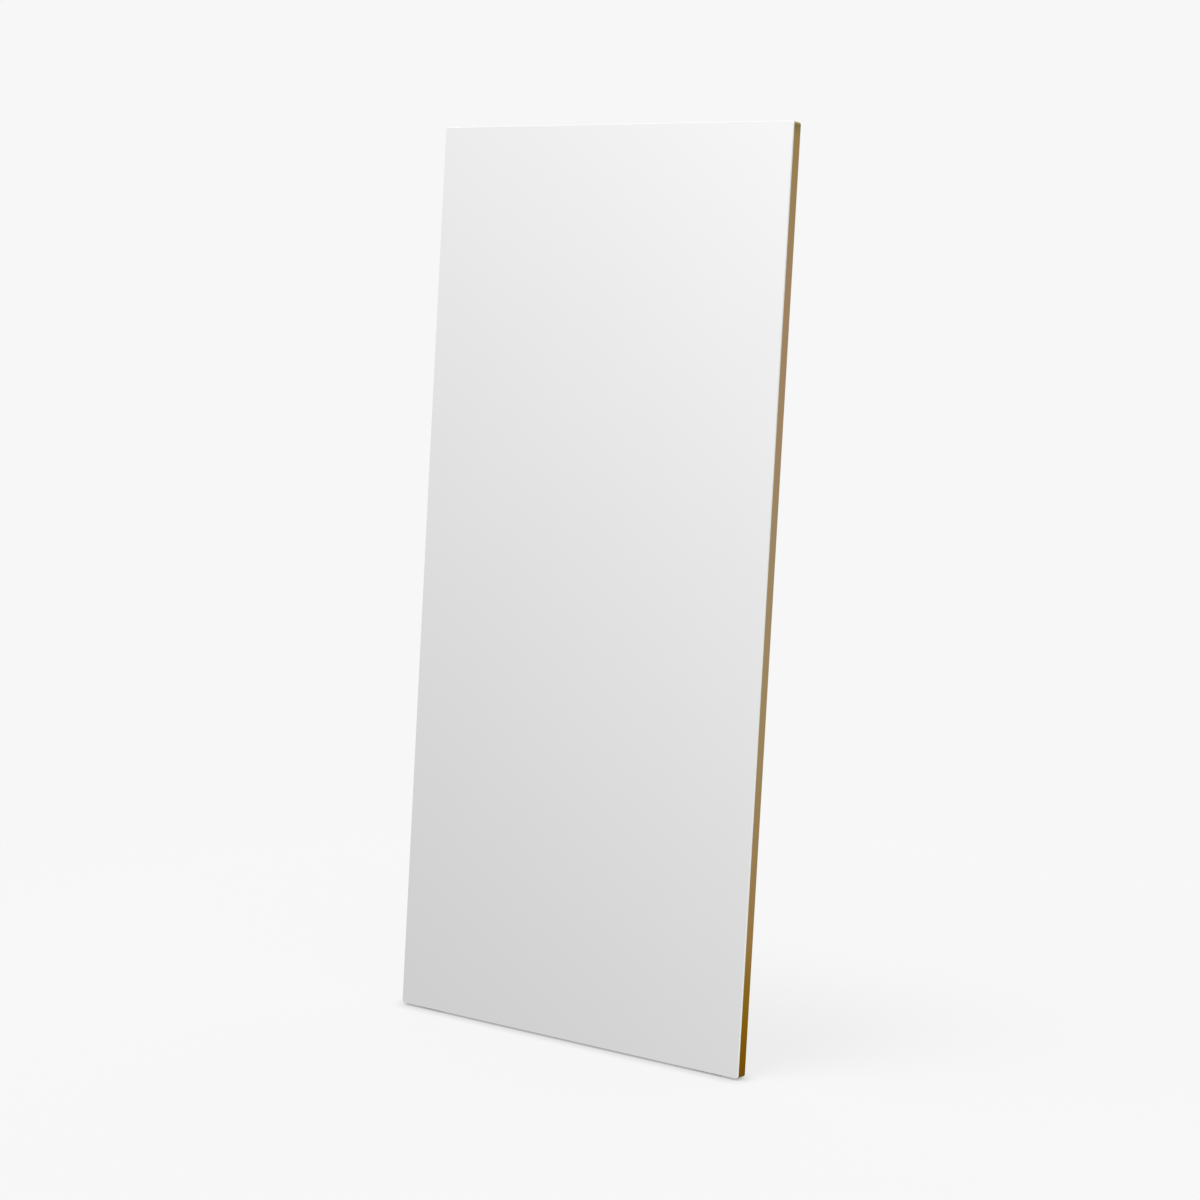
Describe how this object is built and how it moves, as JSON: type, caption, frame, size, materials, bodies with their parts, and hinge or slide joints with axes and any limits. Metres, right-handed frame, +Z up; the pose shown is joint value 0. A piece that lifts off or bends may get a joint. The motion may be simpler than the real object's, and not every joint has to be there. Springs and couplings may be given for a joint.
{
  "type": "floor mirror",
  "caption": "Full-length leaning floor mirror: edge-to-edge glass on a slim brass-toned frame, with a folding U-shaped rear stand.",
  "frame": {"origin": "on the floor, under the middle of the standing mirror with its stand open", "axes": "+X to the right and +Y to the back as seen by a person who looks into the glass, +Z up"},
  "size_m": [0.8, 0.256, 1.6974],
  "materials": {
    "mirror": "silvered float glass with a polished edge",
    "film": "woven safety film",
    "tape": "closed-cell foam tape",
    "frame": "satin brushed, anodised in a brass tone",
    "casting": "tumbled die casting",
    "steel": "bright zinc plated",
    "black_screw": "black zinc plated",
    "board": "fibreboard with a dark rolled paint",
    "plywood": "raw birch plywood",
    "foam": "soft polyethylene foam",
    "black_steel": "black powder coat",
    "stand": "satin brass-toned coating on steel tube",
    "rubber": "moulded matt rubber",
    "pale_rubber": "pale grey non-marking rubber"
  },
  "bodies": {
    "panel": {"mirror_glass": "mirror", "safety_film": "film", "bonding_tape_left": "tape", "frame_rail_left": "frame", "bonding_tape_right": "tape", "frame_rail_right": "frame", "bonding_tape_bottom": "tape", "frame_rail_bottom": "frame", "bonding_tape_top": "tape", "frame_rail_top": "frame", "corner_key_bottom_left": "casting", "corner_key_bottom_right": "casting", "corner_key_top_left": "casting", "corner_key_top_right": "casting", "corner_grub_screw_1": "steel", "corner_grub_screw_2": "steel", "corner_grub_screw_3": "steel", "corner_grub_screw_4": "steel", "corner_grub_screw_5": "steel", "corner_grub_screw_6": "steel", "corner_grub_screw_7": "steel", "corner_grub_screw_8": "steel", "backing_board": "board", "stand_batten": "plywood", "board_screw_1": "steel", "board_screw_2": "steel", "board_screw_3": "steel", "board_screw_4": "steel", "board_screw_5": "steel", "board_screw_6": "steel", "board_screw_7": "steel", "board_screw_8": "steel", "bracket_screw_1": "black_screw", "bracket_screw_2": "black_screw", "bracket_screw_3": "black_screw", "bracket_screw_4": "black_screw", "bracket_screw_5": "black_screw", "bracket_screw_6": "black_screw", "bracket_screw_7": "black_screw", "bracket_screw_8": "black_screw", "strap_plate": "steel", "strap_screw_1": "steel", "strap_screw_2": "steel", "foam_strip_left": "foam", "hinge_bracket_left": "black_steel", "pivot_bolt_left": "steel", "pivot_nut_left": "steel", "foot_pad_left": "pale_rubber", "wall_bumper_left": "rubber", "foam_strip_right": "foam", "hinge_bracket_right": "black_steel", "pivot_bolt_right": "steel", "pivot_nut_right": "steel", "foot_pad_right": "pale_rubber", "wall_bumper_right": "rubber"},
    "stand": {"stand_tube": "stand", "tube_plug_left": "rubber", "tube_plug_right": "rubber", "foot_sleeve_left": "rubber", "foot_sleeve_right": "rubber"}
  },
  "joints": [
    {"name": "stand_fold", "type": "hinge", "parent": "panel", "child": "stand", "pos_m": [0, 0.01274, 1.17626], "axis": [1, 0, 0], "range_deg": [-10.2, 0]}
  ]
}
